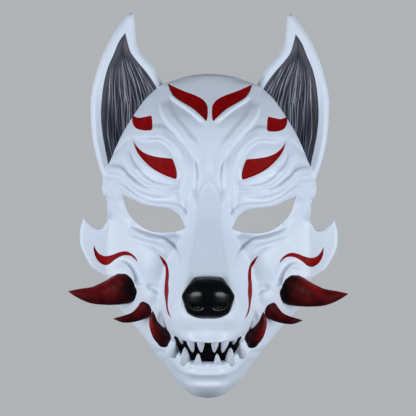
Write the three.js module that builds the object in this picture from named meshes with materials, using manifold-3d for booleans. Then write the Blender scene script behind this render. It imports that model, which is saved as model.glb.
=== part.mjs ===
// Fox mask with upright ears, lying on the flat rim of its back: millimetres, +Z up.
// The face looks up (+Z), the ears point to +Y and the chin to -Y. The mask is the same left and right.
// Most shapes are drawn in plan, in hundredths: across of half the face's width, and along from chin to crown.
import * as THREE from "three";
import { mergeVertices } from "three/addons/utils/BufferGeometryUtils.js";
import Module from "manifold-3d";

const wasm = await Module();
wasm.setup();

// Driving sizes
const FACE_WIDTH = 173;
const FACE_LENGTH = 265.7;
const CHIN_Y = -157.4;
const WALL = 3.4;
const GAP = 0.4;
const FIN_TOP = 46;
const FIN_THICKNESS = 4.5;
const EAR_WALL = 4.5;
const EAR_CUP_DEPTH = 9;
const LINING_THICKNESS = 5;
// The openings of the eyes and the mouth are cut from below the rim to above the snout
const CUT_FLOOR = -20;
const CUT_TOP = 160;
// The outlines narrow towards the front by one part in 1370 for each millimetre above this level
const DRAFT_LENGTH = 1370;
const DRAFT_LEVEL = 30;
// Moves the middle of the footprint to the origin
const CENTRING_Y = 1.75;

// How finely the skin is divided
const SPOKES = 76;
const RINGS = [0.08, 0.16, 0.24, 0.31, 0.38, 0.44, 0.5, 0.555, 0.61, 0.66, 0.71, 0.755, 0.8, 0.84, 0.88, 0.915, 0.945, 0.97, 0.988, 1];

// Half width of the head along its length
const HEAD = [[0, 0], [0.6, 11.8], [2.5, 21.3], [4.9, 28.9], [8, 36.5], [13, 47.9], [17.9, 59.2], [22.5, 70.6],
  [25.6, 79.1], [28.4, 86.7], [32.7, 93.8], [37.3, 97.6], [44.1, 97.6], [51.9, 96.2], [58.6, 96.7], [64.2, 99.1],
  [68.8, 98.1], [72.5, 94.8], [80.2, 84.4], [86.6, 73], [92, 61.4], [94.4, 54], [96.6, 45.5], [98.1, 32.7],
  [99.1, 23.7], [99.7, 13.3], [100, 0]];
// Height in millimetres of the middle line and of the outer edge, without the snout
const MIDDLE = [[0, 42], [0.6, 63], [1.9, 79], [3.7, 88], [6.8, 93], [11.7, 90], [16.4, 84], [21, 76], [33.3, 77],
  [48.8, 82], [61.1, 85], [70.4, 86.5], [78.1, 85.5], [83, 83.5], [86, 80.5], [88.5, 75.5], [92, 67], [95.7, 58],
  [98.5, 50.5], [99.4, 47], [100, 40]];
const EDGE = [[0, 32], [21, 34], [61.1, 34], [73.5, 36], [100, 38]];
// The cross-section falls by a plain square and by a higher power of the share of the half width
const SQUARE_SHARE = [[0, 0.1], [12, 0.12], [24, 0.3], [42.6, 0.4], [61.1, 0.45], [100, 0.45]];
const POWER = [[0, 4.2], [12, 4], [24, 3.4], [42.6, 4], [61.1, 5], [76.5, 5.5], [100, 4.5]];
// The snout: its height, half the width of its flat top, the width of its slope, and half the width of the lip
const SNOUT_TOP = [[11, 34], [17, 44], [20.4, 48], [24.7, 53], [30.2, 51], [38, 41], [44.1, 30], [50.3, 20],
  [56.5, 11], [61.1, 6], [66, 2], [70.4, 0]];
const SNOUT_FLAT = [[17, 27.5], [27.2, 27.5], [33.3, 21.8], [38, 17.1], [43.5, 14.2], [50.3, 11.4], [56.5, 10],
  [61.1, 9], [66, 5.7], [70.4, 2.8]];
const SNOUT_SLOPE = [[17, 19], [27.2, 19.9], [33.3, 26.5], [39.5, 27.5], [43.5, 23.7], [47.2, 18], [51.9, 12.8],
  [61.1, 12.8], [70.4, 11.4]];
const LIP_HALF = [[15.4, 0], [16, 12], [17.2, 24], [18.6, 31], [20.4, 37.5], [22.2, 40.3], [24.7, 43.1],
  [27.2, 45], [30.2, 47.4]];

// Ridges and hollows of the skin: height, half width, and the line they follow from end to end
const FOLDS = [
  { name: "brow rim", height: 2, half: 7, line: [[43.6, 92.6], [33.2, 86.1], [22.7, 82.4], [15.6, 79], [10.4, 71]] },
  { name: "brow", height: 3, half: 8, line: [[80.6, 79.9], [59.7, 81.3], [39.8, 79.6], [24.6, 73.8], [20.9, 65.4]] },
  { name: "brow hollow", height: -2, half: 7, line: [[68.2, 78.7], [57.8, 78.7], [47.4, 77.8], [32.2, 74.1]] },
  { name: "upper lid", height: 2.4, half: 6, line: [[91, 70.4], [70.6, 65.3], [49.3, 62.9], [24.6, 63.3]] },
  { name: "lid hollow", height: -2, half: 5, line: [[88.2, 67], [69.2, 62.7], [48.3, 60.9], [29.4, 61.4]] },
  { name: "temple", height: 2, half: 7, line: [[84.4, 64.2], [83.9, 60.2], [82.5, 55.9], [79.6, 52.5]] },
  { name: "under the eye", height: -2, half: 5, line: [[76.8, 56.5], [58.8, 50.8], [37, 50.2], [26.5, 50.6]] },
  { name: "cheek", height: 2.4, half: 6, line: [[74.9, 52.2], [56.9, 49.4], [37.9, 47.4], [28.4, 42], [28.9, 37.7]] },
  { name: "cheek hollow", height: -2, half: 5, line: [[82.5, 49.4], [62.6, 47.7], [41.7, 45.8], [35.1, 43.8]] },
  { name: "horn socket", height: 2.4, half: 6, line: [[91.9, 40.1], [74.4, 39.7], [69.7, 37], [67.8, 34]] },
  { name: "lower lip", height: 2, half: 5, line: [[35.1, 13.9], [30.3, 11.1], [23.7, 9.1], [16.1, 7.9], [0, 7.4]] },
  { name: "lip hollow", height: -2.5, half: 4, line: [[37.3, 12.1], [32.4, 9.4], [25.4, 7.5], [18.3, 6.3], [0, 5.8]] },
];

// Outlines of the right half, each as splines that meet in sharp corners
const EYE = [
  [[82.3, 62.5], [73.1, 61.2], [65.9, 59.9], [58.6, 59.2], [48.9, 58.7], [37.9, 58.2], [29.6, 56.8], [25.4, 54.8], [22, 52.4]],
  [[22, 52.4], [28.4, 51.6], [40.8, 51.1], [52.1, 51.2], [62.6, 52.5], [71.1, 54.8], [77.7, 57.8], [82.3, 62.5]],
];
const MOUTH = [
  [[0, 11.3], [9.5, 11.4], [17.7, 12], [23.7, 13.4], [28, 15.4], [30.8, 17.6], [31.8, 19.3]],
  [[31.8, 19.3], [28.6, 18.6], [21, 17.5], [11.4, 17.2], [0, 17]],
];
const FIN = [
  [[84, 55], [94.8, 54.3], [100.3, 52.4], [103.7, 52], [108.6, 52.4], [112.9, 53.6], [118.7, 55.4]],
  [[118.7, 55.4], [121.8, 52.2], [122.2, 49.4], [121.1, 46.3], [113.7, 41.4], [107.1, 39.1], [94.3, 37.2], [84, 38.6]],
  [[84, 38.6], [84, 55]],
];
const EAR = [
  [[75.5, 118.7], [73.4, 116], [71.8, 112.7], [70.1, 109.3], [66.4, 106.8], [53.1, 101.9], [45, 96.8], [40, 90]],
  [[40, 90], [60, 80], [86, 64]],
  [[86, 64], [96.7, 63.6], [100.9, 67.9], [105.2, 71.9], [110.9, 79.6], [113, 89.5], [111.6, 95.1], [106.2, 101.9],
    [100.5, 106.8], [92.9, 111.7], [82.5, 116.7], [75.5, 118.7]],
];
const EAR_MIDDLE = [86, 92];
const EAR_CUP = [
  [[80.8, 112.5], [75.4, 106.4], [69.2, 103.7], [55.8, 98.3], [46, 92]],
  [[46, 92], [70, 78], [96, 68]],
  [[96, 68], [99.1, 76.9], [102.7, 91.3], [100.6, 97], [91.8, 105.7], [80.8, 112.5]],
];
const NOSE = [
  [[0, 24.4], [7.2, 24.4], [13.5, 24.7], [19, 25.6], [21.3, 26.7], [23.7, 29.3], [25.1, 31.2], [23.7, 32.6],
    [19, 34.9], [13.5, 37.1], [7.2, 37.5], [0, 37.6]],
];
const NOSE_MIDDLE = [0, 31];
const NOSE_FLOOR = 90;
const NOSE_TOP = [[24, 132], [27, 138], [30.5, 142], [34, 140], [36, 135], [38, 128]];
const NOSE_ROUNDING = 9;

// Horns, tusks and teeth: [across, along, height] of the axis, and the radius in millimetres at equal steps of it
const BIG_HORN = {
  axis: [[66, 34.4, 50], [77.7, 33.8, 51], [90.4, 33, 52], [99.5, 32.2, 53], [109.5, 31.6, 55], [122.3, 31.9, 57], [132.4, 32.5, 59]],
  radius: [11, 12.6, 13, 12.4, 11, 9.4, 7.9, 6.4, 4.8, 2.8, 0],
};
const MIDDLE_HORN = {
  axis: [[51, 30, 56], [56.9, 27.8, 58], [63, 26.1, 60], [70.1, 24.8, 62], [79.6, 24.1, 64], [89.6, 24.2, 65]],
  radius: [7, 7.9, 7.6, 6.4, 5.2, 4.2, 3.6, 3, 1.8, 0],
};
const TUSK = {
  axis: [[36, 17, 60], [40.8, 18.5, 67], [45.5, 19.6, 70], [49.3, 21.3, 73], [52, 23.6, 75], [52.4, 26.7, 77]],
  radius: [6, 7, 6.9, 6.1, 5.2, 4.4, 3.4, 2.2, 0],
};
const HORN_SIDES = 12;
const TOOTH_SIDES = 6;
// Each tooth: root and tip as [across, along, height], and the radius at the root
const UPPER_TEETH = [
  { root: [7, 18.4, 106], tip: [6.1, 14, 103], radius: 3.2 },
  { root: [17.1, 18.6, 104], tip: [13.9, 14, 101], radius: 3.3 },
  { root: [25.8, 19.6, 98], tip: [24, 16.5, 96], radius: 2.6 },
];
const LOWER_TEETH = [
  { root: [9.8, 9, 88], tip: [8.8, 13.7, 96], radius: 3.5 },
  { root: [20.9, 9.8, 84], tip: [21.6, 15.6, 94], radius: 4.4 },
  { root: [33.2, 12, 71], tip: [30.5, 16.7, 84], radius: 3.8 },
];

const COLOURS = { white: 0xdfe6f0, black: 0x08080a, red: 0x5a0b10, lining: 0x050506 };

const plan = ([u, v]) => new THREE.Vector2((u / 100) * (FACE_WIDTH / 2), CHIN_Y + (v / 100) * FACE_LENGTH);
const alongOf = (y) => ((y - CHIN_Y) / FACE_LENGTH) * 100;
const smooth = (t) => THREE.MathUtils.smoothstep(t, 0, 1);

// A curve through knots [place, value] that keeps between neighbouring values
function through(knots, place) {
  const v = THREE.MathUtils.clamp(place, knots[0][0], knots[knots.length - 1][0]);
  let i = 0;
  while (i < knots.length - 2 && v > knots[i + 1][0]) i++;
  const rise = (k) => (knots[k + 1][1] - knots[k][1]) / (knots[k + 1][0] - knots[k][0]);
  const slope = (k) => {
    if (k === 0) return rise(0);
    if (k === knots.length - 1) return rise(k - 1);
    const a = rise(k - 1);
    const b = rise(k);
    return a * b > 0 ? (2 * a * b) / (a + b) : 0;
  };
  const h = knots[i + 1][0] - knots[i][0];
  const t = (v - knots[i][0]) / h;
  return (2 * t ** 3 - 3 * t ** 2 + 1) * knots[i][1] + (t ** 3 - 2 * t ** 2 + t) * h * slope(i)
    + (-2 * t ** 3 + 3 * t ** 2) * knots[i + 1][1] + (t ** 3 - t ** 2) * h * slope(i + 1);
}

// Points of an outline made of splines that meet in corners; steps is the number of points for each knot
function outlineOf(splines, steps = 2) {
  const points = [];
  for (const knots of splines) {
    const curve = new THREE.SplineCurve(knots.map(plan));
    points.push(...curve.getPoints((knots.length - 1) * steps).slice(0, -1));
  }
  return points;
}

const mirrored = (points) => points.map((p) => new THREE.Vector2(-p.x, p.y)).reverse();

// Nearest distance from a point to a row of points
function distanceTo(points, x, y, closed = false) {
  let best = Infinity;
  let share = 0;
  const last = closed ? points.length : points.length - 1;
  for (let i = 0; i < last; i++) {
    const a = points[i];
    const b = points[(i + 1) % points.length];
    const dx = b.x - a.x;
    const dy = b.y - a.y;
    const t = THREE.MathUtils.clamp(((x - a.x) * dx + (y - a.y) * dy) / (dx * dx + dy * dy), 0, 1);
    const d = Math.hypot(x - a.x - t * dx, y - a.y - t * dy);
    if (d < best) {
      best = d;
      share = (i + t) / (points.length - 1);
    }
  }
  return { distance: best, share };
}

function isInside(points, x, y) {
  let inside = false;
  for (let i = 0, j = points.length - 1; i < points.length; j = i++) {
    const a = points[i];
    const b = points[j];
    if (a.y > y !== b.y > y && x < ((b.x - a.x) * (y - a.y)) / (b.y - a.y) + a.x) inside = !inside;
  }
  return inside;
}

const halfWidth = (y) => (through(HEAD, alongOf(y)) / 100) * (FACE_WIDTH / 2);
const foldLines = FOLDS.map((fold) => ({
  ...fold,
  points: new THREE.SplineCurve(fold.line.map(plan)).getPoints(fold.line.length * 4),
}));

// Height of the mask's skin over a point of the plan
function skin(x, y) {
  const across = Math.abs(x);
  const v = alongOf(y);
  const r = Math.min(across / Math.max(halfWidth(y), 1e-6), 1);
  const middle = through(MIDDLE, v);
  const edge = through(EDGE, v);
  const square = through(SQUARE_SHARE, v);
  let z = edge + (middle - edge) * (1 - square * r ** 2 - (1 - square) * r ** through(POWER, v));
  const half = FACE_WIDTH / 200;
  const slope = 1 - smooth((across - through(SNOUT_FLAT, v) * half) / (through(SNOUT_SLOPE, v) * half));
  const q = Math.min(across / Math.max(through(LIP_HALF, v) * half, 1e-6), 1);
  const overhang = 1 - smooth((v - 23.5) / 9);
  if (v > 15.4) z += through(SNOUT_TOP, v) * ((1 - overhang) * slope + overhang * Math.sqrt(1 - q ** 4));
  for (const fold of foldLines) {
    const near = distanceTo(fold.points, across, y);
    if (near.distance >= fold.half) continue;
    const s = near.share;
    const ends = fold.line[fold.line.length - 1][0] === 0 ? smooth(s * 5) : smooth(s * 5) * smooth((1 - s) * 5);
    z += fold.height * (1 - (near.distance / fold.half) ** 2) ** 2 * ends;
  }
  return z;
}

// Lowest point under the skin that keeps the wall's thickness on every side
function lining(x, y, wall) {
  let z = skin(x, y) - wall;
  for (let ring = 1; ring <= 2; ring++) {
    const r = (wall * 0.94 * ring) / 2;
    for (let k = 0; k < 10; k++) {
      const angle = (k * Math.PI) / 5;
      const px = x + r * Math.cos(angle);
      const py = y + r * Math.sin(angle);
      if (Math.abs(px) < halfWidth(py)) z = Math.min(z, skin(px, py) - Math.sqrt(wall * wall - r * r));
    }
  }
  return z;
}

// A closed geometry as a solid, and back again
function solid(geometry) {
  geometry.deleteAttribute("normal");
  geometry.deleteAttribute("uv");
  const merged = mergeVertices(geometry, 1e-4);
  const triVerts = new Uint32Array(merged.index.array);
  return new wasm.Manifold(new wasm.Mesh({ numProp: 3, vertProperties: merged.attributes.position.array, triVerts }));
}

function geometryOf(manifold) {
  const { numProp, vertProperties, triVerts } = manifold.getMesh();
  const position = new Float32Array((vertProperties.length / numProp) * 3);
  for (let i = 0; i < position.length / 3; i++) {
    const z = vertProperties[i * numProp + 2];
    const draft = 1 - (z - DRAFT_LEVEL) / DRAFT_LENGTH;
    position[i * 3] = vertProperties[i * numProp] * draft;
    position[i * 3 + 1] = vertProperties[i * numProp + 1] * draft + CENTRING_Y;
    position[i * 3 + 2] = z;
  }
  const geometry = new THREE.BufferGeometry();
  geometry.setAttribute("position", new THREE.BufferAttribute(position, 3));
  geometry.setIndex(new THREE.BufferAttribute(new Uint32Array(triVerts), 1));
  geometry.computeVertexNormals();
  return geometry;
}

// A body over an outline: rings of a sphere's grid are laid on its top, then on its underside
function bodyOver(outline, centre, rings, top, underside, undersideRings = []) {
  const rows = rings.length + 2 + undersideRings.length;
  const geometry = new THREE.SphereGeometry(1, outline.length, rows);
  const columns = outline.length + 1;
  const position = geometry.attributes.position;
  for (let i = 0; i < position.count; i++) {
    const row = Math.floor(i / columns);
    const p = outline[(i % columns) % outline.length];
    const onTop = row <= rings.length;
    let share = 0;
    if (row > 0 && onTop) share = rings[row - 1];
    if (row === rings.length + 1) share = 1;
    if (row > rings.length + 1 && row < rows) share = undersideRings[row - rings.length - 2];
    const x = centre.x + (p.x - centre.x) * share;
    const y = centre.y + (p.y - centre.y) * share;
    position.setXYZ(i, x, y, onTop ? top(x, y) : underside(x, y));
  }
  return geometry;
}

// An upright prism over an outline
function prism(outline, low, high, bevel = 0) {
  const geometry = new THREE.ExtrudeGeometry(new THREE.Shape(outline), {
    depth: high - low - 2 * bevel,
    bevelEnabled: bevel > 0,
    bevelThickness: bevel,
    bevelSize: bevel,
    bevelSegments: 1,
  });
  geometry.translate(0, 0, low + bevel);
  return solid(geometry);
}

// A round body along a curve, lathed with the radii and then bent; side -1 mirrors its axis
function bentCone(axis, radius, sides, side, grow = 0) {
  const profile = [new THREE.Vector2(0, 0)];
  radius.forEach((r, i) => profile.push(new THREE.Vector2(r > 0 ? r + grow : 0, i / (radius.length - 1))));
  const geometry = new THREE.LatheGeometry(profile, sides);
  const curve = new THREE.CatmullRomCurve3(axis.map(([u, v, z]) => {
    const p = plan([u, v]);
    return new THREE.Vector3(side * p.x, p.y, z);
  }));
  const position = geometry.attributes.position;
  for (let i = 0; i < position.count; i++) {
    const s = THREE.MathUtils.clamp(position.getY(i), 0, 1);
    const tangent = curve.getTangentAt(s);
    const sideways = new THREE.Vector3(0, 0, 1).cross(tangent).normalize();
    const upward = new THREE.Vector3().crossVectors(sideways, tangent);
    const p = curve.getPointAt(s);
    p.addScaledVector(sideways, position.getX(i));
    p.addScaledVector(upward, position.getZ(i) * 0.9);
    position.setXYZ(i, p.x, p.y, p.z);
  }
  return solid(geometry);
}

const both = (make) => make(1).add(make(-1));

// Outline of the head at equal steps, anticlockwise from the chin, moved inwards by the inset
function headOutline(count, inset = 0) {
  const sideCurve = new THREE.SplineCurve(HEAD.map(([v, u]) => plan([u, v])));
  const half = sideCurve.getSpacedPoints(count / 2);
  const points = [...half.slice(0, -1), ...mirrored(half).slice(0, -1)];
  return points.map((p, i) => {
    const a = points[(i + points.length - 1) % points.length];
    const b = points[(i + 1) % points.length];
    const inward = new THREE.Vector2(a.y - b.y, b.x - a.x).normalize();
    return p.clone().addScaledVector(inward, inset);
  });
}

const centre = new THREE.Vector2(0, CHIN_Y + 0.56 * FACE_LENGTH);
const headGeometry = bodyOver(headOutline(SPOKES), centre, RINGS, skin, () => 0);
const cavityBody = (drop) => solid(bodyOver(
  headOutline(SPOKES / 2, WALL),
  centre,
  [0.16, 0.31, 0.45, 0.57, 0.68, 0.77, 0.85, 0.92, 0.97, 1],
  (x, y) => Math.max(lining(x, y, WALL), 20) - drop,
  () => -10,
));
const cavity = cavityBody(0);

// The head made a little larger, which trims what is set on it
const grownHead = solid(headGeometry.clone()
  .translate(0, -centre.y, 1.6 * GAP)
  .scale(1.007, 1.007, 1)
  .translate(0, centre.y, 0))
  .add(solid(headGeometry.clone().translate(0, -centre.y, -5).scale(1.007, 1.007, 1).translate(0, centre.y, 0)));
const wholeHead = solid(headGeometry);

const finOutline = outlineOf(FIN);
const fin = (side, bevel = 0) => {
  const outline = side > 0 ? finOutline : mirrored(finOutline);
  return prism(outline, FIN_TOP - FIN_THICKNESS - bevel, FIN_TOP + bevel, bevel);
};
const eyeOutline = outlineOf(EYE);
const eye = (side) => prism(side > 0 ? eyeOutline : mirrored(eyeOutline), CUT_FLOOR, CUT_TOP);
const mouthHalf = outlineOf(MOUTH, 2);
const mouthOutline = [...mouthHalf, plan([0, 17]), ...mirrored(mouthHalf).slice(0, -1)];
const mouth = prism(mouthOutline, CUT_FLOOR, CUT_TOP);

function tooth({ root, tip, radius }, side) {
  const middle = root.map((value, i) => (value + tip[i]) / 2 + (i === 2 ? 1 : 0));
  return bentCone([root, middle, tip], [radius, radius, radius * 0.8, radius * 0.48, 0], TOOTH_SIDES, side);
}

let shell = wholeHead.add(both((side) => fin(side))).subtract(cavity);
shell = shell.subtract(both(eye)).subtract(mouth);
const teeth = [...UPPER_TEETH, ...LOWER_TEETH].map((item) => both((side) => tooth(item, side)));
shell = teeth.reduce((sum, item) => sum.add(item), shell);
const grownTeeth = [...UPPER_TEETH, ...LOWER_TEETH].map((item) => both((side) =>
  tooth({ ...item, radius: item.radius + GAP }, side)));
const grownShape = grownTeeth.reduce((sum, item) => sum.add(item), grownHead.add(both((side) => fin(side, GAP))));

// The black panel that closes the mouth from behind, following the inside of the shell
const panelOutline = mouthOutline.filter((p, i) => i % 2 === 0).map((p) => {
  const middle = plan([0, 14.2]);
  const away = p.clone().sub(middle);
  return middle.add(away.setLength(away.length() + 9));
});
const panelDrop = 2 * GAP;
let panel = prism(panelOutline, 20, 140)
  .intersect(cavityBody(panelDrop))
  .subtract(cavityBody(panelDrop + LINING_THICKNESS));
panel = grownTeeth.reduce((rest, item) => rest.subtract(item), panel);

// Ears: cups that face up, standing on the wall of the head
const earOutline = outlineOf(EAR);
const earCup = outlineOf(EAR_CUP, 4);
const earFront = (x, y) => {
  const across = Math.abs(x);
  const lift = 36 + 5 * smooth((alongOf(y) - 85) / 35);
  const rim = distanceTo(earOutline, across, y, true).distance;
  const roundness = Math.max(1 - rim / 4, 0);
  const inward = isInside(earCup, across, y) ? distanceTo(earCup, across, y, true).distance : 0;
  return lift - 3.5 * roundness ** 2 - EAR_CUP_DEPTH * smooth(inward / 13);
};
const ear = (side) => {
  const outline = side > 0 ? earOutline : mirrored(earOutline);
  const middle = plan(EAR_MIDDLE);
  middle.x *= side;
  const back = (x, y) => {
    const rim = distanceTo(earOutline, Math.abs(x), y, true).distance;
    return earFront(x, y) - 2 - EAR_WALL * smooth(rim / 8);
  };
  return solid(bodyOver(outline, middle, [0.4, 0.7, 0.9, 1], earFront, back, [0.6])).subtract(grownHead);
};

// The nose pad, set on the end of the snout
const noseHalf = outlineOf(NOSE, 1);
const noseOutline = [...noseHalf, plan([0, 37.6]), ...mirrored(noseHalf).slice(0, -1)];
const noseTop = (x, y) => {
  const rim = distanceTo(noseOutline, x, y, true).distance;
  const t = Math.max(1 - rim / NOSE_ROUNDING, 0);
  return through(NOSE_TOP, alongOf(y)) - NOSE_ROUNDING * (1 - Math.sqrt(1 - t * t));
};
const nose = solid(bodyOver(noseOutline, plan(NOSE_MIDDLE), [0.5, 0.8, 0.95, 1], noseTop, () => NOSE_FLOOR))
  .subtract(grownHead);

const horn = ({ axis, radius }, side) => bentCone(axis, radius, HORN_SIDES, side).subtract(grownShape);

const material = (color, roughness) => new THREE.MeshStandardMaterial({ color, roughness, metalness: 0 });
const MATERIALS = {
  white: material(COLOURS.white, 0.22),
  black: material(COLOURS.black, 0.18),
  red: material(COLOURS.red, 0.35),
  lining: material(COLOURS.lining, 0.9),
};

const mask = new THREE.Group();
function place(name, manifold, look) {
  const mesh = new THREE.Mesh(geometryOf(manifold), look);
  mesh.name = name;
  mask.add(mesh);
}

place("face_shell", shell, MATERIALS.white);
place("mouth_lining", panel, MATERIALS.lining);
place("nose", nose, MATERIALS.black);
for (const [name, side] of [["left", -1], ["right", 1]]) {
  place("ear_" + name, ear(side), MATERIALS.white);
  place("horn_cheek_" + name, horn(BIG_HORN, side), MATERIALS.red);
  place("horn_jaw_" + name, horn(MIDDLE_HORN, side), MATERIALS.red);
  place("tusk_" + name, horn(TUSK, side), MATERIALS.red);
}

export default mask;
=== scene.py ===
import math

import bpy
import numpy as np
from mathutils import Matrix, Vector
from mathutils.geometry import delaunay_2d_cdt


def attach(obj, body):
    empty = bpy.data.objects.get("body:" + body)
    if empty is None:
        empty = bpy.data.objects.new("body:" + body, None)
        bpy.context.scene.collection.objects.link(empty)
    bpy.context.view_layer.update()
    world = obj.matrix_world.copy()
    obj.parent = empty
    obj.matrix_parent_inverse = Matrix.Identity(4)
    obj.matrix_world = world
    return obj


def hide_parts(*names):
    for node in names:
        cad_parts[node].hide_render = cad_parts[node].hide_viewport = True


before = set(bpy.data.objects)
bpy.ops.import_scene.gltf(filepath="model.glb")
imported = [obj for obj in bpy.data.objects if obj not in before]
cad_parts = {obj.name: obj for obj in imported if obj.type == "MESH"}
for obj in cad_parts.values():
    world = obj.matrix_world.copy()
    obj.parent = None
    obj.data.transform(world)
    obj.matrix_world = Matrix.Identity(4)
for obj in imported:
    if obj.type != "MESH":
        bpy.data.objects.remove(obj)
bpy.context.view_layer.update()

scene = bpy.context.scene

SIDES = (("left", -1), ("right", 1))

# Sizes of the solids, in millimetres
FACE_WIDTH = 173.0
FACE_LENGTH = 265.7
CHIN_Y = -157.4
WALL = 3.4
FIN_TOP = 46.0
FIN_THICKNESS = 4.5
FIN_LEAN = 0.2
DRAFT_LENGTH = 1370.0
DRAFT_LEVEL = 30.0
CENTRING_Y = 1.75

# How strongly the folds are cut
FOLD_GAIN = 1.2
# Along the head, the snout starts over the mouth
SNOUT_START = 15.4

# Spacing of the front and of the inner surface, and distances of the rows beside outlines and the lip
FINE = 1.1
COARSE = 3.0
RIM_ROWS = (0.2, 0.5, 0.95, 1.6, 2.4)
OUTLINE_GAP = 2.9
CORNER_GAP = 2.4
LIP_ROWS = (0.35, 0.8, 1.4)
LIP_GAP = 2.0
# Millimetres over which the cheek fins and the head run into each other, and the depth of the markings
FIN_JOIN = 14.0
MARK_DEPTH = 0.45
# Along the head, the stretch where a fin grows out of it
FIN_START = 32.5
FIN_END = 59.5
# Radii of the rims of the fins, the eyes and the mouth
FIN_RIM = 2.2
EYE_RIM = 1.3
MOUTH_RIM = 1.6
# The ear: its level, its rise to the tip, the roll of its rim and the depth of its bowl
EAR_LEVEL = 36
EAR_RISE = 5
EAR_RIM_FALL = 3.5
EAR_BOWL_DEPTH = 9

# Places in plan are hundredths: across of half the face's width, and along from chin to crown.
# These lists begin with the place along: the half width, the height in the middle and at the edge, the
# share and the power of the curve between them, and the snout's height, flat top, slope and lip
HEAD = [(0, 0), (0.6, 11.8), (2.5, 21.3), (4.9, 28.9), (8, 36.5), (13, 47.9), (17.9, 59.2), (22.5, 70.6),
        (25.6, 79.1), (28.4, 86.7), (32.7, 93.8), (37.3, 97.6), (44.1, 97.6), (51.9, 96.2), (58.6, 96.7),
        (60.4, 96.9), (62.2, 99.8), (64.8, 101.8), (67.2, 100.6), (68.6, 98.4), (70.2, 98.8), (72.5, 94.8),
        (80.2, 84.4), (86.6, 73), (92, 61.4), (94.4, 54), (96.6, 45.5), (98.1, 32.7), (99.1, 23.7),
        (99.7, 13.3), (100, 0)]
MIDDLE = [(0, 42), (0.6, 63), (1.9, 79), (3.7, 88), (6.8, 93), (11.7, 90), (16.4, 84), (21, 76),
          (33.3, 77), (48.8, 82), (61.1, 85), (70.4, 86.5), (78.1, 85.5), (83, 83.5), (86, 80.5),
          (88.5, 75.5), (92, 67), (95.7, 58), (98.5, 50.5), (99.4, 47), (100, 40)]
EDGE = [(0, 32), (21, 34), (61.1, 34), (73.5, 36), (100, 38)]
SQUARE_SHARE = [(0, 0.1), (12, 0.12), (24, 0.3), (42.6, 0.4), (61.1, 0.45), (100, 0.45)]
POWER = [(0, 4.2), (12, 4), (24, 3.4), (42.6, 4), (61.1, 5), (76.5, 5.5), (100, 4.5)]
SNOUT_TOP = [(11, 34), (17, 44), (20.4, 48), (24.7, 53), (30.2, 51), (38, 41), (44.1, 30), (50.3, 20),
             (56.5, 11), (61.1, 6), (66, 2), (70.4, 0)]
SNOUT_FLAT = [(17, 27.5), (27.2, 27.5), (33.3, 21.8), (38, 17.1), (43.5, 14.2), (50.3, 11.4), (56.5, 10),
              (61.1, 9), (66, 5.7), (70.4, 2.8)]
SNOUT_SLOPE = [(17, 19), (27.2, 19.9), (33.3, 26.5), (39.5, 27.5), (43.5, 23.7), (47.2, 18), (51.9, 12.8),
               (61.1, 12.8), (70.4, 11.4)]
LIP_HALF = [(15.4, 0), (16, 12), (17.2, 24), (18.6, 31), (20.4, 37.5), (22.2, 40.3), (24.7, 43.1),
            (27.2, 45), (30.2, 47.4)]

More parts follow.
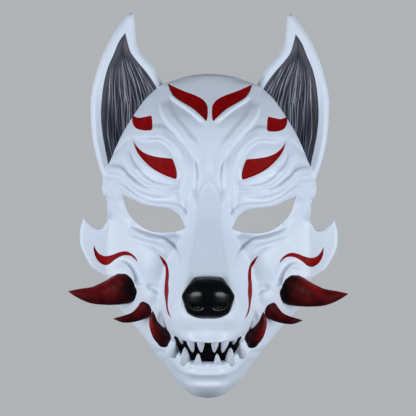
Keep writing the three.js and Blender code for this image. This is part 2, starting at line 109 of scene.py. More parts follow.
# Folds of the skin: shape, height, width to the left and right of the line, the shares over which its
# ends fade, and the line from end to end
FOLDS = [
    ("brow rim", "ridge", 0.8, 2.2, 2.2, 0.12, 0.15,
     [(38.4, 94), (32.7, 92), (24.2, 90.3), (15.2, 88.3), (7.6, 86.3), (2.8, 84.7)]),
    ("under the brow rim", "crease", -2.2, 9, 1.8, 0.15, 0.25,
     [(40.3, 93.2), (34.6, 91.4), (27, 89.7), (18.5, 87.7), (10.9, 85.5), (4.7, 83.6)]),
    ("inner brow", "band", 2.3, 6, 5.4, 0.15, 0.3,
     [(43.3, 91.8), (41.1, 88.3), (36, 85.6), (29.6, 83.2), (23.3, 80.5), (16.6, 77.7), (13.3, 74.6)]),
    ("inner brow hollow", "ridge", -1.6, 4.5, 4.5, 0.2, 0.3,
     [(47.5, 84.2), (40.1, 82.2), (31.7, 79.8), (23.3, 76.7), (19.1, 73.6), (15.2, 70.1)]),
    ("brow", "band", 2.8, 6.2, 8, 0.1, 0.12,
     [(71.8, 81.8), (63.3, 80.9), (53.8, 81.5), (46.4, 81.5), (38, 79.8), (31.7, 77.4), (26.4, 74.6),
      (21.6, 71.5), (19.9, 68.1), (21.1, 64.8), (19.9, 62.3), (19, 59.6), (18.5, 57.1)]),
    ("brow crease", "crease", -2.3, 9, 2.4, 0.12, 0.3,
     [(75.9, 80.8), (68.5, 79.9), (57, 79.6), (46.4, 79.1), (36, 77.4), (29.6, 74.6), (27, 71.9)]),
    ("mark rim", "ridge", 0.7, 2.6, 2.6, 0.15, 0.12,
     [(73.9, 77.8), (69.2, 74.4), (60.7, 71.5), (50.2, 69.1), (38.9, 67.1), (29.9, 66.5), (27.5, 68.5),
      (28, 71.9)]),
    ("lid fold", "band", 1.7, 4.2, 3.4, 0.12, 0.2,
     [(77.7, 76.9), (77.3, 74.4), (74.9, 72.2), (68.5, 69.5), (61.2, 67.1), (52.8, 65.5), (40.8, 64.8),
      (29.4, 65.1)]),
    ("lid fold crease", "crease", -2.1, 6.5, 2.8, 0.15, 0.2,
     [(87.2, 74.1), (81, 72.4), (75.8, 70.1), (68.5, 67.6), (59.1, 65.5), (46.4, 64.4), (29.6, 64),
      (20.9, 63.1)]),
    ("upper lid", "band", 2.2, 4.6, 4.2, 0.08, 0.25,
     [(99.5, 69.9), (91.9, 70.5), (85.3, 69.8), (78.7, 67.7), (71.8, 65.7), (64.5, 64.4), (55.9, 63.7),
      (46.4, 63.4), (34.1, 63.3)]),
    ("lid crease", "crease", -2.2, 4.5, 3, 0.1, 0.25,
     [(98.6, 67.7), (91.9, 68), (85.3, 67.8), (79.1, 66.7), (71.8, 64.2), (61.2, 62.2), (50.6, 61.2),
      (38, 61.6), (29.4, 62.5)]),
    ("lid rim", "ridge", 1.5, 3.4, 3, 0.1, 0.15,
     [(91.9, 64.7), (83.4, 64.9), (75.9, 63.2), (66.4, 61.1), (52.8, 59.8), (36, 59.3), (27.5, 58.5),
      (22.3, 56.5), (19.4, 53.4)]),
    ("temple groove", "crease", -2.4, 3.6, 3.6, 0.1, 0.25,
     [(98.1, 72.8), (91.9, 75), (86.3, 76.5), (80.6, 78.5), (75.8, 80.7)]),
    ("lobe crease", "crease", -2, 2.8, 2.8, 0.1, 0.2,
     [(102.4, 66.8), (98.1, 65.7), (95.7, 63.3), (97.2, 60.2)]),
    ("temple", "ridge", 2.2, 4.6, 4.6, 0.2, 0.3,
     [(87.7, 65.4), (88.2, 62.3), (87.2, 59.3), (84.4, 56.5), (79.6, 54), (73.9, 52.2)]),
    ("under the eye", "ridge", -2.6, 4.2, 6.5, 0.15, 0.15,
     [(75.8, 54.3), (67.3, 52.2), (57.3, 50.9), (48.9, 50.3), (37, 50.6), (22.7, 51.1)]),
    ("cheek", "band", 2.1, 4.4, 4, 0.15, 0.35,
     [(77.7, 52.5), (69.7, 51), (63.5, 50.2), (55.9, 49.4), (48.3, 48.8), (42.7, 48), (36.5, 46.4),
      (31.3, 44.1), (29.4, 41), (29.4, 37.3)]),
    ("cheek hollow", "crease", -1.6, 5.5, 2.4, 0.15, 0.35,
     [(77.7, 49.7), (71.1, 48.9), (64.9, 48.2), (57.8, 47.6), (51.2, 46.8), (45.5, 45.5), (41.7, 43.8)]),
    ("cheek crescent", "band", -2.8, 4.6, 4, 0.3, 0.15,
     [(86.3, 42.3), (81.5, 42.7), (76.3, 42.4), (71.6, 41), (68.2, 39), (65.9, 36.7), (65.4, 34)]),
    ("horn socket", "ridge", 1.6, 3.2, 3.2, 0.2, 0.2,
     [(91.9, 39.8), (86.3, 40.7), (81.5, 41.2), (76.3, 40.6), (71.6, 38.6), (69.2, 36.1), (68.2, 32.7)]),
    ("jaw horn rim", "ridge", -1.6, 3.4, 3.8, 0.2, 0.2,
     [(59.2, 34), (53.1, 34.1), (47.4, 33), (44.5, 31.2), (46, 29)]),
    ("tusk flap", "ridge", 1.4, 2.4, 3.4, 0.15, 0.3,
     [(58.8, 18.5), (54.5, 16.7), (49.3, 15.6), (43.1, 15.3), (38.4, 14.2), (36, 12.3)]),
    ("under the flap", "crease", -1.8, 3.2, 1.8, 0.15, 0.3,
     [(56.9, 15.7), (50.7, 14.5), (43.6, 14.2), (39.3, 12.8), (35.1, 10.5)]),
    ("side strip", "band", -7, 4.6, 4.6, 0.15, 0.12,
     [(99.5, 62.3), (100, 60.2), (100, 58), (99.5, 55.9)]),
    ("lip crease", "ridge", -2.4, 5, 4, 0.25, 0.25,
     [(39.8, 27.8), (41.7, 26.1), (43.4, 24.4), (42.2, 22.7), (38.4, 21.1)]),
    ("muzzle line", "crease", -0.8, 3.5, 1.8, 0.3, 0.3,
     [(26.1, 32.1), (30.3, 30.4), (34.3, 28.9), (36.5, 26.9)]),
    ("philtrum", "ridge", -0.5, 2.2, 2.2, 0.3, 0,
     [(0, 24.4), (0, 21), (0, 17.3)]),
    ("forehead line", "ridge", -0.5, 3, 3, 0.3, 0.3,
     [(0, 77.8), (0, 71.9), (0, 66.7)]),
    ("panel edge", "crease", -0.9, 2, 4, 0.3, 0.3,
     [(15.6, 75), (13.3, 72.2), (12.8, 68.8), (15.2, 65.1)]),
    ("bridge edge", "ridge", 0.7, 1.8, 1.8, 0.1, 0.4,
     [(0.4, 67.3), (5.7, 64.9), (9.5, 62), (10.6, 59), (10.9, 55.6), (10, 51.5)]),
    ("lower lip", "band", 3, 4.6, 10.4, 0.12, 0,
     [(38.4, 14.8), (33.6, 12.2), (27, 9.9), (19.4, 8.6), (10.4, 8.1), (0, 8)]),
    ("lip hollow", "ridge", -2.7, 4.6, 4.4, 0.1, 0,
     [(42.2, 12.8), (39.8, 11.8), (33.4, 8.8), (26.1, 6.8), (18.3, 5.6), (0, 5.2)]),
]
# Round bulges: name, place, radii in millimetres, height and turn in degrees
BULGES = [
    ("temple lobe", (92.9, 70.1), 6.6, 4.5, 1.5, -20),
    ("cheek", (54, 41.4), 14.8, 17.2, 1.6, 12),
    ("jaw horn socket", (55.9, 30.9), 7.4, 7.4, 1.4, 0),
    ("panel", (7.6, 69.8), 6.6, 13.9, 0.9, 0),
    ("side lobe", (100.9, 64.2), 4.9, 9.0, 1.4, 0),
    ("middle gum", (0, 10.5), 2.1, 2.8, 1.6, 0),
    ("front gum", (15.5, 9.9), 2.5, 3.0, 1.4, 0),
    ("side gum", (27, 11.1), 2.5, 3.0, 1.4, 0),
]

# Outlines of the right half, as splines that meet in sharp corners; in closed ones each spline ends at
# the first point of the next
EYE = [
    [(82.3, 62.5), (73.1, 61.2), (65.9, 59.9), (58.6, 59.2), (48.9, 58.7), (37.9, 58.2), (29.6, 56.8),
     (25.4, 54.8)],
    [(22, 52.4), (28.4, 51.6), (40.8, 51.1), (52.1, 51.2), (62.6, 52.5), (71.1, 54.8), (77.7, 57.8)],
]
MOUTH = [
    [(0, 11.3), (9.5, 11.4), (17.7, 12), (23.7, 13.4), (28, 15.4), (30.8, 17.6), (31.8, 19.3)],
    [(31.8, 19.3), (28.6, 18.6), (21, 17.5), (11.4, 17.2), (0, 17)],
]
FIN = [
    [(78, 54.4), (94.8, 54.3), (100.3, 52.4), (103.7, 52), (108.6, 52.4), (112.9, 53.6)],
    [(118.7, 55.4), (121.8, 52.2), (122.2, 49.4), (121.1, 46.3), (113.7, 41.4), (107.1, 39.1),
     (94.3, 37.2), (86.3, 38.6)],
    [(76, 41)],
]
MARKS = {
    "forehead": [
        [(40.1, 96.9), (26.5, 94.9), (14.9, 93.5), (7.2, 92.2), (2.8, 90.5), (1.9, 88.6), (2.4, 86.1)],
        [(3.6, 85.4), (8.2, 87), (15.9, 89.2), (24.6, 90.9), (33.3, 92.7), (37.6, 94.6)]],
    "temple": [
        [(73.5, 87), (67.6, 86.3), (61.3, 86.6)],
        [(56, 87), (54.8, 86.4), (54.3, 84.2), (54.4, 82.9)],
        [(56, 82.4), (63.3, 82.4), (70, 83.1), (73.2, 84.8)]],
    "brow": [
        [(72.8, 79.4), (69.1, 77.6), (63.3, 75.8), (55.5, 74.7), (45.9, 74.1), (36.7, 73.8),
         (34.8, 73.5), (32.3, 71.6), (30.7, 69.4), (30.9, 67.8)],
        [(32.8, 67.5), (42.9, 68.7), (53.6, 70.6), (62.3, 73.1), (69.1, 76)]],
    "fin": [
        [(108.8, 47), (106.9, 45.6), (103.1, 44.1), (97.4, 43.5), (90.4, 44), (84.1, 44.8), (77.7, 45),
         (72, 44.1), (68.2, 42.7)],
        [(67.4, 41.8), (70.1, 42.7), (73.9, 43.6), (79.1, 43.8), (84.1, 43.3), (89.2, 42.3),
         (93.6, 41.1), (98.1, 40.7), (103.1, 41.5), (106.9, 43.1), (108.8, 45.2)]],
    "snout": [
        [(47.3, 44.1), (43.5, 43.1), (39.7, 41.5), (37.8, 39.4), (37.4, 37.3), (37.8, 35.3),
         (37.5, 32.8), (38.2, 30.3), (38.2, 28.2), (36.9, 26.2)],
        [(34.6, 24.4), (37.8, 25.8), (39.4, 27.4), (40.6, 29.9), (41.6, 32.4), (41.3, 35.3),
         (40.6, 37.7), (40.9, 40.2), (43.5, 41.7)]],
}
EAR = [
    [(75.3, 118.7), (73, 118.2), (72.1, 116), (71.3, 112.7), (70.1, 109.3), (66.4, 106.8),
     (59.7, 104.3), (53.1, 101.9), (49.3, 99.4), (45, 96.8)],
    [(40, 90), (60, 80)],
    [(86, 64), (96.7, 63.6), (100.9, 67.9), (105.2, 71.9), (110.9, 79.6), (113, 89.5), (111.6, 95.1),
     (106.2, 101.9), (100.5, 106.8), (92.9, 111.7), (86.5, 114.9), (81.8, 116.9), (78.3, 118.3)],
]
EAR_CUP_OUTER = [(80.8, 112.5), (86.7, 109.7), (91.8, 105.7), (97, 101.7), (100.6, 97), (102.7, 91.3),
                 (103.1, 86.3), (101.6, 81.3), (99.1, 76.9), (96.5, 72.5), (94, 66)]
EAR_CUP_INNER = [(80.8, 112.5), (77.9, 108.7), (75.4, 106.4), (69.2, 103.7), (62, 101), (55.8, 98.3),
                 (50.9, 95.7), (44, 91)]
NOSE = [
    [(0, 24.4), (7.2, 24.4), (13.5, 24.7), (19, 25.6), (21.3, 26.7), (23.7, 29.3), (25.1, 31.2),
     (23.7, 32.6), (19, 34.9), (13.5, 37.1), (7.2, 37.5), (0, 37.6)],
]
NOSE_TOP = [(24, 131), (27, 137.5), (30, 141), (32.2, 142), (33.4, 141.2), (34.6, 138.8), (36, 135),
            (38, 128)]
NOSE_CROWN = 2.6
NOSTRIL = (11.5, 28.0)
HAIRS = 34
HAIR_SIDES = 5

# The height of a horn, tusk or tooth for its width
CONE_FLATNESS = 0.9
# Axes as (across, along, height in millimetres), and radii in millimetres at equal steps of the axis
BIG_HORN = (
    [(66, 34.4, 50), (77.7, 33.8, 51), (90.4, 32.5, 52), (99.5, 31.8, 53), (109.5, 31.4, 55),
     (122.3, 31.9, 57), (132.4, 32.5, 59)],
    [11, 12.6, 13, 12.2, 10.7, 9.2, 7.8, 6.4, 4.8, 2.8, 0.3])
JAW_HORN = (
    [(51, 30, 56), (56.9, 27.8, 58), (63, 26.1, 60), (70.1, 24.8, 62), (79.6, 24.1, 64), (89.6, 24.2, 65)],
    [7, 7.9, 7.6, 6.4, 5.2, 4.2, 3.6, 3, 1.8, 0.2])
TUSK = (
    [(37.5, 16.9, 62), (40.8, 18.5, 67), (45.5, 19.6, 70), (49.3, 21.3, 73), (52, 23.6, 75),
     (52.4, 26.7, 77)],
    [5, 7.8, 7.6, 6.5, 5.4, 4.5, 3.4, 2.2, 0.2])
# Teeth: root, tip and radius
UPPER_TEETH = [
    ((7, 18.4, 106), (6.1, 14, 103), 3.2),
    ((17.1, 18.6, 104), (13.9, 14, 101), 3.3),
    ((25.8, 19.6, 98), (24, 16.5, 96), 2.6),
]
LOWER_TEETH = [
    ((9.8, 9, 88), (8.8, 13.7, 96), 3.5),
    ((20.9, 9.8, 84), (21.6, 15.6, 94), 4.4),
    ((33.2, 12.6, 78), (30.5, 16.7, 87), 3.6),
]
# Inside the corner of the mouth: axis and radii
CORNER_ROLL = (
    [(33, 20, 73), (31, 18.5, 73), (29, 16.3, 71), (29.5, 14.3, 68), (31, 12.5, 63)],
    [2.5, 3.6, 3.8, 3.4, 2.2])

HALF = FACE_WIDTH / 200


def plan(places):
    """Shares to millimetres in plan, one row for each place."""
    places = np.asarray(places, float)
    return np.column_stack([places[:, 0] * HALF, CHIN_Y + places[:, 1] / 100 * FACE_LENGTH])


def along_of(y):
    """Millimetres in plan to hundredths from chin to crown."""
    return (y - CHIN_Y) / FACE_LENGTH * 100


def smooth(t):
    t = np.clip(t, 0, 1)
    return t * t * (3 - 2 * t)


def through(knots, place):
    """A curve through knots (place, value) that keeps between neighbouring values."""
    knots = np.array(knots, float)
    xs, ys = knots[:, 0], knots[:, 1]
    rise = np.diff(ys) / np.diff(xs)
    slope = np.zeros(len(xs))
    same = rise[:-1] * rise[1:] > 0
    both = rise[:-1] + rise[1:]
    slope[1:-1] = np.where(same, 2 * rise[:-1] * rise[1:] / np.where(same, both, 1), 0)
    slope[0], slope[-1] = rise[0], rise[-1]
    place = np.clip(place, xs[0], xs[-1])
    i = np.clip(np.searchsorted(xs, place) - 1, 0, len(xs) - 2)
    h = xs[i + 1] - xs[i]
    t = (place - xs[i]) / h
    return ((2 * t ** 3 - 3 * t ** 2 + 1) * ys[i] + (t ** 3 - 2 * t ** 2 + t) * h * slope[i]
            + (3 * t ** 2 - 2 * t ** 3) * ys[i + 1] + (t ** 3 - t ** 2) * h * slope[i + 1])


def spline(points, steps=12):
    """A smooth row of points through the given ones, in any number of dimensions."""
    p = np.asarray(points, float)
    p = np.vstack([2 * p[0] - p[1], p, 2 * p[-1] - p[-2]])
    t = np.arange(steps)[:, None] / steps
    rows = []
    for a, b, c, d in zip(p[:-3], p[1:-2], p[2:-1], p[3:]):
        rows.append(0.5 * (2 * b + (c - a) * t + (2 * a - 5 * b + 4 * c - d) * t ** 2
                           + (3 * b - a - 3 * c + d) * t ** 3))
    rows.append(p[-2:-1])
    return np.vstack(rows)


def spaced(points, step):
    """The same line with its points at equal steps."""
    length = np.concatenate([[0], np.cumsum(np.linalg.norm(np.diff(points, axis=0), axis=1))])
    count = max(2, int(round(length[-1] / step)) + 1)
    at = np.linspace(0, length[-1], count)
    return np.column_stack([np.interp(at, length, points[:, k]) for k in range(points.shape[1])])


def outline(splines, step):
    """A closed outline of splines, each of which ends where the next begins."""
    ends = splines[1:] + splines[:1]
    return np.vstack([spaced(spline(plan(s + end[:1])), step)[:-1] for s, end in zip(splines, ends)])


def open_outline(splines, step):
    """An outline from the first point to the last, of splines that hold both their ends."""
    rows = [spaced(spline(plan(s)), step)[:-1] for s in splines]
    return np.vstack(rows + [plan(splines[-1][-1:])])


def nearest(x, y, path, closed=False, reach=1e9):
    """Distance to a line of points, the side of it, and the share of its length, worked out only for
    points that may be within reach."""
    best, side, share = np.full(x.shape, 1e9), np.zeros(x.shape), np.zeros(x.shape)
    low, high = path.min(0) - reach, path.max(0) + reach
    near = (x > low[0]) & (x < high[0]) & (y > low[1]) & (y < high[1])
    x, y = x[near], y[near]
    closest, beside, passed = best[near], side[near], share[near]
    if closed:
        path = np.vstack([path, path[:1]])
    seg = np.diff(path, axis=0)
    length = np.hypot(seg[:, 0], seg[:, 1])
    total = np.concatenate([[0], np.cumsum(length)])
    for i in np.flatnonzero(length > 1e-9):
        dx, dy = x - path[i, 0], y - path[i, 1]
        t = np.clip((dx * seg[i, 0] + dy * seg[i, 1]) / length[i] ** 2, 0, 1)
        d = np.hypot(dx - t * seg[i, 0], dy - t * seg[i, 1])
        closer = d < closest
        closest = np.where(closer, d, closest)
        beside = np.where(closer, seg[i, 0] * dy - seg[i, 1] * dx, beside)
        passed = np.where(closer, (total[i] + t * length[i]) / total[-1], passed)
    best[near], side[near], share[near] = closest, np.sign(beside), passed
    return best, side, share


def inside(x, y, polygon):
    """True for the points within a closed polygon."""
    result = np.zeros(x.shape, bool)
    ahead = np.roll(polygon, -1, axis=0)
    for (ax, ay), (bx, by) in zip(polygon, ahead):
        if ay == by:
            continue
        crosses = ((ay > y) != (by > y)) & (x < (bx - ax) * (y - ay) / (by - ay) + ax)
        result ^= crosses
    return result


def within(points, polygon):
    """The same for rows of points."""
    return inside(points[:, 0], points[:, 1], polygon)


# The egg-shaped edge of the head's right half, from chin to crown
head_line = spaced(spline(plan([(u, v) for v, u in HEAD])), 1.2)
head_line[0, 0] = head_line[-1, 0] = 0


def half_width(y):
    """Half the head's width at a place along it, in millimetres."""
    return np.interp(y, head_line[:, 1], head_line[:, 0])


def roll_off(distance, radius):
    """How far a rounded edge has fallen at a distance from it."""
    t = np.clip(1 - distance / radius, 0, 1)
    return radius * (1 - np.sqrt(1 - t * t))


fold_lines = [(fold[1:7], spline(plan(fold[7]), 6)) for fold in FOLDS]
FOLD_SHAPES = {
    "ridge": lambda q: (1 - q * q) ** 2,
    "crease": lambda q: np.clip(1 - np.sqrt(q * q + 0.015), 0, 1) ** 1.6,
    "band": lambda q: 1 - smooth((q - 0.45) / 0.55),
}


def skin(x, y):
    """Height of the mask's skin over points of the plan."""
    across = np.abs(x)
    v = along_of(y)
    r = np.clip(across / np.maximum(half_width(y), 1e-6), 0, 1)
    middle, edge = through(MIDDLE, v), through(EDGE, v)
    square = through(SQUARE_SHARE, v)
    z = edge + (middle - edge) * (1 - square * r ** 2 - (1 - square) * r ** through(POWER, v))
    slope = 1 - smooth((across - through(SNOUT_FLAT, v) * HALF) / (through(SNOUT_SLOPE, v) * HALF))
    q = np.clip(across / np.maximum(through(LIP_HALF, v) * HALF, 1e-6), 0, 1)
    overhang = 1 - smooth((v - 23.5) / 9)
    snout = through(SNOUT_TOP, v) * ((1 - overhang) * slope + overhang * np.sqrt(1 - q ** 4))
    z = z + np.where(v > SNOUT_START, snout, 0)
    for (shape, height, left, right, start, end), path in fold_lines:
        d, side, share = nearest(across, y, path, reach=max(left, right))
        q = np.clip(d / np.where(side > 0, left, right), 0, 1)
        ends = smooth(share / start) * (smooth((1 - share) / end) if end else 1)
        z = z + FOLD_GAIN * height * FOLD_SHAPES[shape](q) * ends
    for name, place, rx, ry, height, turn in BULGES:
        cx, cy = plan([place])[0]
        a = math.radians(turn)
        p = (across - cx) * math.cos(a) + (y - cy) * math.sin(a)
        q = (y - cy) * math.cos(a) - (across - cx) * math.sin(a)
        z = z + height * (1 - np.clip((p / rx) ** 2 + (q / ry) ** 2, 0, 1)) ** 2
    return z


fin_outline = outline(FIN, 1.2)
eye_outline = outline(EYE, 0.9)
mouth_line = open_outline(MOUTH, 0.9)
mouth_corner = plan(MOUTH[1][:1])[0]
lip_line = spaced(spline(plan([(u, v) for v, u in LIP_HALF if v > 19])), 1.0)
mark_outlines = {name: outline(splines, 0.9) for name, splines in MARKS.items()}
egg = np.vstack([head_line, [(0, head_line[0, 1])]])
hole = np.vstack([mouth_line, [(-5, mouth_line[-1, 1]), (-5, mouth_line[0, 1])]])


def clear(points):
    """True for the points outside the eye and the mouth."""
    return ~within(points, eye_outline) & ~within(points, hole)


def on_shell(points):
    """True for the points on the head or the fin that are clear of the eye and the mouth."""
    return (within(points, egg) | within(points, fin_outline)) & clear(points)


def fin_plane(x):
    """Height of the cheek fin, which leans back a little towards its outer edge."""
    return FIN_TOP + 2 - FIN_LEAN * (np.abs(x) - 82)


def fin_height(x, y):
    """Height of the cheek fin's front, rounded off at its rim."""
    d = nearest(x, y, fin_outline, True, 3)[0]
    free = smooth((np.abs(x) - half_width(y)) / 5)
    return fin_plane(x) - roll_off(np.where(inside(x, y, fin_outline), d, 0), FIN_RIM) * free


def front(x, y):
    """Height of the front of the shell, with fins, rounded rims and sunk markings."""
    z = skin(x, y)
    across = np.abs(x)
    near_fin = nearest(across, y, fin_outline, True)[0] < 0.05
    in_fin = inside(across, y, fin_outline) | near_fin
    in_head = across <= half_width(y) + 0.05
    v = along_of(y)
    plane = fin_plane(x)
    blend = np.clip(0.5 + (plane - z) / (2 * FIN_JOIN), 0, 1)
    joined_up = (plane - z) * blend + FIN_JOIN * blend * (1 - blend)
    z = z + joined_up * smooth((v - FIN_START) / 5.5) * smooth((FIN_END - v) / 5)
    z = np.where(in_fin & ~in_head, fin_height(across, y), z)
    for path, radius, closed in ((eye_outline, EYE_RIM, True), (mouth_line, MOUTH_RIM, False)):
        d = nearest(across, y, path, closed, radius)[0]
        z = z - roll_off(d, radius) * 0.8
    for path in mark_outlines.values():
        d = nearest(across, y, path, True, 1.5)[0]
        in_mark = inside(across, y, path)
        z = z - np.where(in_mark, MARK_DEPTH * smooth(np.where(d < 1e8, d, 9) / 0.9), 0)
    return z


# The inner surface is the lowest place that leaves the wall its thickness all round
grid_x = np.arange(-8, 98, 1.0)
grid_y = np.arange(CHIN_Y - 6, CHIN_Y + FACE_LENGTH + 6, 1.0)
gx, gy = np.meshgrid(grid_x, grid_y)
outer_grid = skin(np.minimum(np.abs(gx), half_width(gy)), gy)
inner_grid = outer_grid - WALL
for ix in range(-3, 4):
    for iy in range(-3, 4):
        r2 = ix * ix + iy * iy
        if r2 == 0 or r2 > WALL ** 2:
            continue
        shifted = np.roll(np.roll(outer_grid, ix, axis=1), iy, axis=0)
        inner_grid = np.minimum(inner_grid, shifted - math.sqrt(WALL ** 2 - r2))


def lining(x, y):
    """Height of the inner surface over points of the plan."""
    fx = np.clip((np.abs(x) - grid_x[0]), 0, len(grid_x) - 1.001)
    fy = np.clip((y - grid_y[0]), 0, len(grid_y) - 1.001)
    i, j = fx.astype(int), fy.astype(int)
    a, b = fx - i, fy - j
    g = inner_grid
    near, far = g[j, i] * (1 - a) + g[j, i + 1] * a, g[j + 1, i] * (1 - a) + g[j + 1, i + 1] * a
    return near * (1 - b) + far * b


def held_in_wall(points):
    """The points, with those that would show inside the hollow lifted into the wall."""
    points = np.array(points, float)
    x, y, z = points.T
    floor = lining(x, y) + 0.6 * WALL
    behind = np.abs(x) < half_width(y) - 0.5
    points[:, 2] = np.where(behind & (z < floor), floor - 0.03 * (floor - z), z)
    return points


def drafted(points):
    """Plan millimetres to metres in the part's frame."""
    points = np.asarray(points, float)
    draft = 1 - (points[:, 2] - DRAFT_LEVEL) / DRAFT_LENGTH
    return np.column_stack([points[:, 0] * draft, points[:, 1] * draft + CENTRING_Y, points[:, 2]]) / 1000


def lattice(low, high, step):
    """A triangular lattice of points over a box."""
    rows = []
    y = low[1]
    odd = False
    while y < high[1]:
        x = np.arange(low[0] + (step / 2 if odd else 0), high[0], step)
        rows.append(np.column_stack([x, np.full(len(x), y)]))
        y += step * 0.866
        odd = not odd
    return np.vstack(rows)


def upward(xy, faces):
    """The triangles turned so that each faces up."""
    a, b, c = xy[faces[:, 0]], xy[faces[:, 1]], xy[faces[:, 2]]
    area = (b[:, 0] - a[:, 0]) * (c[:, 1] - a[:, 1]) - (b[:, 1] - a[:, 1]) * (c[:, 0] - a[:, 0])
    real = np.abs(area) > 1e-7
    faces, area = faces[real], area[real]
    faces[area < 0] = faces[area < 0][:, ::-1]
    return faces


def triangulate(lines, points):
    """Triangles over the points that face up and keep the given lines as edges, each (points, closed).
    Returns the vertices, the triangles, and for each line the numbers of its vertices."""
    coords, edges, spans = [], [], []
    for line, closed in lines:
        start = len(coords)
        coords.extend(Vector((float(x), float(y))) for x, y in line)
        count = len(line)
        spans.append((start, count))
        edges.extend((start + i, start + i + 1) for i in range(count - 1))
        if closed:
            edges.append((start + count - 1, start))
    coords.extend(Vector((float(x), float(y))) for x, y in points)
    verts, _, faces, orig = delaunay_2d_cdt(coords, edges, [], 0, 1e-4)[:4]
    place = {}
    for new, olds in enumerate(orig):
        for old in olds:
            place[old] = new
    xy = np.array([(p.x, p.y) for p in verts])
    numbers = [[place[start + i] for i in range(count)] for start, count in spans]
    return xy, upward(xy, np.array([f for f in faces if len(f) == 3])), numbers


def away_from(points, lines, gap):
    """The points that keep a gap to all lines."""
    keep = np.ones(len(points), bool)
    for line, closed in lines:
        d = nearest(*points.T, line, closed, gap)[0]
        keep &= d > gap
    return points[keep]


def rings(line, closed, side, distances):
    """Rows of points beside a line, at the given distances to its left (side 1) or right (side -1)."""
    if closed:
        t = np.roll(line, -1, axis=0) - np.roll(line, 1, axis=0)
    else:
        t = np.gradient(line, axis=0)
    t /= np.linalg.norm(t, axis=1)[:, None]
    normal = np.column_stack([-t[:, 1], t[:, 0]]) * side
    return np.vstack([line + normal * d for d in distances])


def add_piece(name, verts, faces, materials, looks=None, nodes=(), sharp=0.9):
    """A mesh object of the finished piece, smooth but for its sharp edges."""
    mesh = bpy.data.meshes.new(name)
    mesh.from_pydata([tuple(v) for v in verts], [], [tuple(f) for f in faces])
    for material in materials:
        mesh.materials.append(material)
    if looks is not None:
        mesh.polygons.foreach_set("material_index", np.asarray(looks, np.int32))
    mesh.validate()
    mesh.polygons.foreach_set("use_smooth", np.ones(len(mesh.polygons), bool))
    mesh.set_sharp_from_angle(angle=sharp)
    mesh.update()
    piece = bpy.data.objects.new(name, mesh)
    scene.collection.objects.link(piece)
    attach(piece, "root")
    if nodes:
        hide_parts(*nodes)
    return piece


def mirrored_half(verts, faces):
    """Adds the other half, joined along the middle."""
    verts = np.asarray(verts, float)
    on_middle = np.abs(verts[:, 0]) < 1e-6
    verts[on_middle, 0] = 0
    number = np.arange(len(verts))
    others = np.flatnonzero(~on_middle)
    number[others] = len(verts) + np.arange(len(others))
    both = np.vstack([verts, verts[others] * (-1, 1, 1)])
    return both, faces + [[int(number[i]) for i in reversed(f)] for f in faces]


class Body:
    """Vertices and faces that are collected level by level."""

    def __init__(self):
        self.verts = []
        self.faces = []
        self.looks = []

    def add(self, points):
        start = len(self.verts)
        self.verts.extend(map(tuple, points))
        return np.arange(start, start + len(points))

    def face(self, corners, look=0):
        corners = [int(c) for c in corners]
        if len(set(corners)) == len(corners):
            self.faces.append(corners)
            self.looks.append(look)

    def strip(self, upper, lower, look=0):
        """A band between two rows; seen from outside, the upper row runs to the left."""
        for i in range(len(upper) - 1):
            self.face((upper[i], upper[i + 1], lower[i + 1], lower[i]), look)

    def used(self):
        """The vertices that belong to a face, and the faces numbered by them."""
        kept = sorted({v for f in self.faces for v in f})
        number = {v: i for i, v in enumerate(kept)}
        return np.array(self.verts)[kept], [[number[v] for v in f] for f in self.faces]


def axis_lines(bottom, top, step):
    """The middle line, in two stretches that leave the mouth out."""
    stretches = ([(0, bottom), mouth_line[0]], [mouth_line[-1], (0, top)])
    return [(spaced(np.array(ends), step), False) for ends in stretches]


